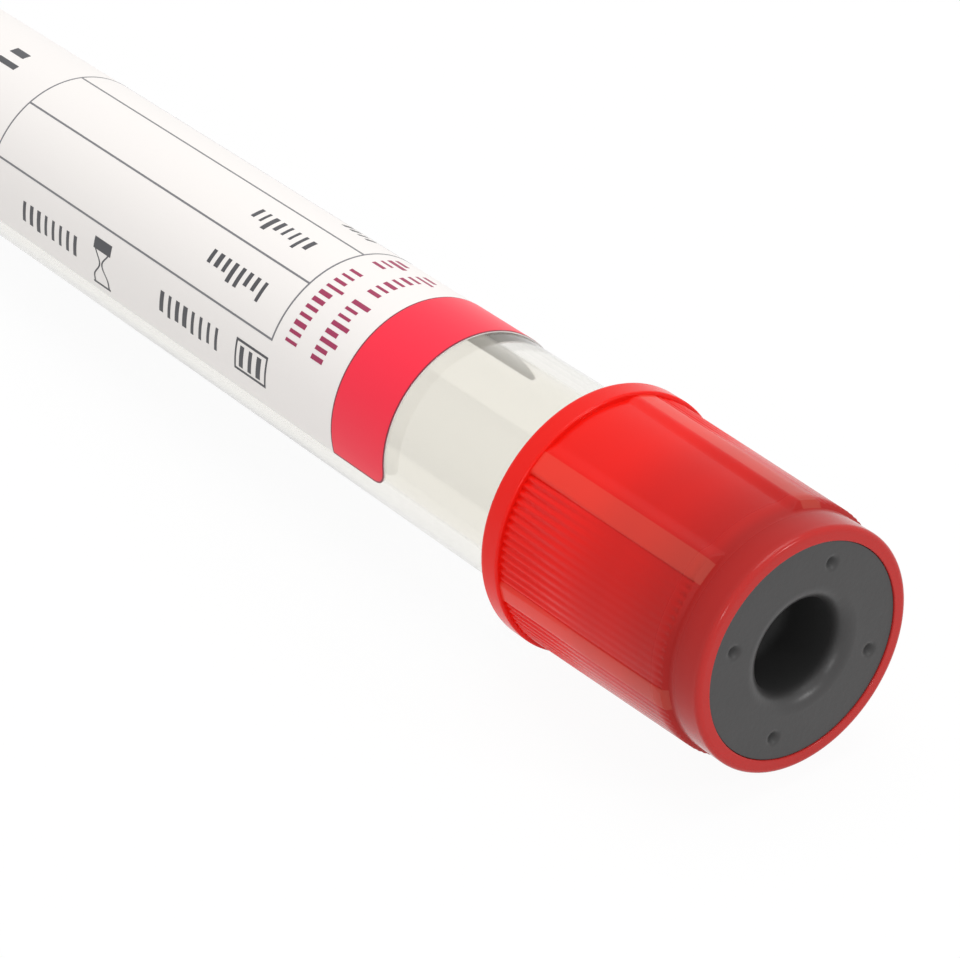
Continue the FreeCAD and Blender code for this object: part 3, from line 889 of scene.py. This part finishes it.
to_strip = add_node(grip, MATH, [in_gap, gap_left], operation="MINIMUM")
off_strip = add_node(grip, MATH, [to_strip, 0.0], operation="GREATER_THAN")

# Along the cap: the whole radius and the panel's, from the grip's front to the flange.
depth = add_node(grip, MATH, [parts["X"], -1.0], operation="MULTIPLY")
way = add_node(grip, RANGE, [depth, given["Front depth"], given["Rear depth"]])
grip_radius = add_node(grip, MIX, {0: way, 2: given["Grip front"], 3: given["Grip rear"]})
panel_radius = add_node(grip, MIX, {0: way, 2: given["Panel front"], 3: given["Panel rear"]})

# Ribs: a valley's depth round the cap, times the ribs' height along it.
rib_pitch = add_node(grip, MATH, [gap_angle, given["Ribs"]], operation="DIVIDE")
rib_steps = add_node(grip, MATH, [in_gap, rib_pitch], operation="DIVIDE")
whole_steps = add_node(grip, MATH, [rib_steps], operation="ROUND")
nearest_valley = add_node(grip, "ShaderNodeClamp", {"Value": whole_steps, "Min": 0.0, "Max": given["Ribs"]})
off_valley = add_node(grip, MATH, [rib_steps, nearest_valley], operation="SUBTRACT")
from_valley = add_node(grip, MATH, [off_valley], operation="ABSOLUTE")
valley_share = add_node(grip, MATH, [1.0, given["Crest share"]], operation="SUBTRACT")
valley_reach = add_node(grip, MATH, [valley_share, 2.0], operation="DIVIDE")
up_share = add_node(grip, MATH, [from_valley, valley_reach], operation="DIVIDE")
up_valley = add_node(grip, RANGE, [up_share, 0.0, 1.0], interpolation_type="SMOOTHSTEP")
valley = add_node(grip, MATH, [1.0, up_valley], operation="SUBTRACT")
fall = add_node(grip, RANGE, [way, *RIB_FALL_SHARES], interpolation_type="SMOOTHSTEP")
rise = add_node(grip, RANGE, [way, *RIB_RISE_SHARES], interpolation_type="SMOOTHSTEP")
front_height = add_node(grip, MIX, {0: fall, 2: given["Rib front height"], 3: given["Rib middle height"]})
rib_height = add_node(grip, MIX, {0: rise, 2: front_height, 3: given["Rib rear height"]})
valley_drop = add_node(grip, MATH, [valley, rib_height], operation="MULTIPLY")
crest_drop = add_node(grip, MATH, [off_strip, given["Crest drop"]], operation="MULTIPLY")
rib_drop = add_node(grip, MATH, [valley_drop, crest_drop], operation="ADD")
ribbed = add_node(grip, MATH, [grip_radius, rib_drop], operation="SUBTRACT")

# Panels: level in the middle of the gap, with a ramp up to the strip at each side.
half_pitch = add_node(grip, MATH, [pitch, 2.0], operation="DIVIDE")
off_middle = add_node(grip, MATH, [from_strip, half_pitch], operation="SUBTRACT")
from_middle = add_node(grip, MATH, [off_middle], operation="ABSOLUTE")
half_panel = add_node(grip, MATH, [gap_angle, 2.0], operation="DIVIDE")
ramp_start = add_node(grip, MATH, [half_panel, given["Ramp angle"]], operation="SUBTRACT")
ramp = add_node(grip, RANGE, [from_middle, ramp_start, half_panel], interpolation_type="SMOOTHSTEP")
smooth = add_node(grip, MIX, {0: ramp, 2: panel_radius, 3: grip_radius})
gap_in_turn = add_node(grip, MATH, [gap_number, GAPS_PER_PANEL], operation="MODULO")
is_panel = add_node(grip, MATH, [gap_in_turn, FIRST_PANEL_GAP, 0.1], operation="COMPARE")

# The grip's points draw in to the allowed radius, and those on a strip are marked for the strips' paler
# colour, partly their textured finish and partly a painted sheen.
allowed = add_node(grip, MIX, {0: is_panel, 2: ribbed, 3: smooth})
on_grip = add_node(grip, "GeometryNodeInputNamedAttribute", {"Name": "grip"}, data_type="FLOAT")
kept = add_node(grip, MATH, [radius, allowed], operation="MINIMUM")
new_radius = add_node(grip, MIX, {0: on_grip, 2: radius, 3: kept})
ratio = add_node(grip, MATH, [new_radius, radius], operation="DIVIDE")
scaling = add_node(grip, "ShaderNodeCombineXYZ", [1.0, ratio, ratio])
drawn_in = add_node(grip, "ShaderNodeVectorMath", [place, scaling], operation="MULTIPLY")
strip_share = add_node(grip, MATH, [1.0, off_strip], operation="SUBTRACT")
on_strip = add_node(grip, MATH, [strip_share, on_grip], operation="MULTIPLY")
strip_texture_and_sheen = add_node(grip, "GeometryNodeStoreNamedAttribute", {
    "Geometry": given["Geometry"], "Name": "strip_texture_and_sheen", "Value": on_strip}, data_type="FLOAT", domain="POINT")
moved = add_node(grip, "GeometryNodeSetPosition", {"Geometry": strip_texture_and_sheen, "Position": drawn_in})
end_tree(grip, moved, given["Material"])

cap_mesh = lathe("ribbed_cap", cap_points, CAP_COLUMNS)
marked = cap_mesh.attributes.new("grip", "FLOAT", "POINT")
marked.data.foreach_set("value", [
    1.0 if SHOULDER_DEPTH - SAME_POINT <= -v.co.x <= FLANGE_DEPTH + SAME_POINT
    and NECK_RADIUS - SAME_POINT < math.hypot(v.co.y, v.co.z) < GRIP_REAR_RADIUS + SAME_POINT else 0.0
    for v in cap_mesh.vertices])

# Translucent red polypropylene. Its colour is painted darker over the front half, as painted shade where
# the rubber lies behind it, and brighter over the rear half, as painted light where the clear tube lies
# behind it. The smooth strips are paler, partly from their textured finish and partly as a painted sheen.
# The front ring is the glossiest stretch, and the step behind it, where the ribs begin, the dullest. Depths
# are in millimetres behind the face. The moulded grain is drawn coarser than the real one, which is too
# fine to show.
RING_ROUGHNESS = 0.16
SHOULDER_ROUGHNESS = 0.5
GRIP_ROUGHNESS = 0.22
RING_TO_SHOULDER = (1.8, SHOULDER_DEPTH)
SHOULDER_TO_GRIP = (3.0, 3.8)
STRIP_TEXTURE_AND_SHEEN_SHARE = 0.07
CAP_GRAIN = 2 / 3
CAP_GRAIN_HEIGHT = 0.01
# Painted shade towards the front, over the rubber, and painted light towards the rear, over the clear tube.
CAP_PAINTED_LIGHT_AND_SHADE = (  # depth, colour
    (0.0, "#bd2f2c"), (0.7, "#b2231f"), (2.4, "#a91c18"), (3.4, "#ba1c18"), (8.0, "#d31b16"),
    (13.0, "#ec1b14"), (17.0, "#f01a11"))
red_pp, tree, shader = plastic("translucent red PP", "#e2231f", Roughness=GRIP_ROUGHNESS, IOR=1.49,
                               Specular_IOR_Level=0.12, Transmission_Weight=0.15)
add_relief(tree, shader, CAP_GRAIN, CAP_GRAIN_HEIGHT)
parts = add_node(tree, "ShaderNodeSeparateXYZ", [axis_coordinates(tree)]).outputs
deep = add_node(tree, MATH, [parts["X"], -1.0 / MM], operation="MULTIPLY")
deep_share = add_node(tree, MATH, [deep, CAP_LENGTH], operation="DIVIDE")
# This ramp paints the rubber's shade and the light through the clear tube into the base colour.
painted_light_ramp = add_node(tree, "ShaderNodeValToRGB", [deep_share])
painted_light_ramp.color_ramp.interpolation = "EASE"
elements = painted_light_ramp.color_ramp.elements
for number, (depth, colour) in enumerate(CAP_PAINTED_LIGHT_AND_SHADE):
    stop = elements[number] if number < 2 else elements.new(depth / CAP_LENGTH)
    stop.position = depth / CAP_LENGTH
    stop.color = linear(colour)
# The strips are mixed towards a pale tint: partly their textured finish, partly a painted sheen.
paler = add_node(tree, "ShaderNodeAttribute", attribute_name="strip_texture_and_sheen").outputs["Fac"]
strip_paling = add_node(tree, MATH, [paler, STRIP_TEXTURE_AND_SHEEN_SHARE], operation="MULTIPLY")
shade = add_node(tree, MIX, {0: strip_paling, 6: painted_light_ramp, 7: linear("#ffbe9c")}, data_type="RGBA")
tree.links.new(shade.outputs[2], shader.inputs["Base Color"])
off_ring = add_node(tree, RANGE, [deep, *RING_TO_SHOULDER], interpolation_type="SMOOTHSTEP")
front = add_node(tree, MIX, {0: off_ring, 2: RING_ROUGHNESS, 3: SHOULDER_ROUGHNESS})
on_ribs = add_node(tree, RANGE, [deep, *SHOULDER_TO_GRIP], interpolation_type="SMOOTHSTEP")
roughness = add_node(tree, MIX, {0: on_ribs, 2: front, 3: GRIP_ROUGHNESS})
tree.links.new(roughness.outputs[0], shader.inputs["Roughness"])

cap_mesh = through(cap_mesh, (grip, {
    "Strips": float(STRIP_COUNT), "First strip": FIRST_STRIP_TURN, "Strip angle": STRIP_ANGLE,
    "Ribs": float(RIBS_BETWEEN_STRIPS), "Rib front height": RIB_FRONT_HEIGHT,
    "Rib middle height": RIB_MIDDLE_HEIGHT, "Rib rear height": RIB_REAR_HEIGHT,
    "Crest share": RIB_CREST_SHARE, "Crest drop": RIB_CREST_DROP,
    "Ramp angle": PANEL_RAMP_ANGLE, "Front depth": GRIP_DEPTH, "Rear depth": FLANGE_DEPTH,
    "Grip front": GRIP_FRONT_RADIUS, "Grip rear": GRIP_REAR_RADIUS, "Panel front": PANEL_FRONT_RADIUS,
    "Panel rear": PANEL_REAR_RADIUS}))
settle("ribbed_cap", cap_mesh, red_pp, "closure", "cap_shield")

scene.view_settings.view_transform = "Standard"
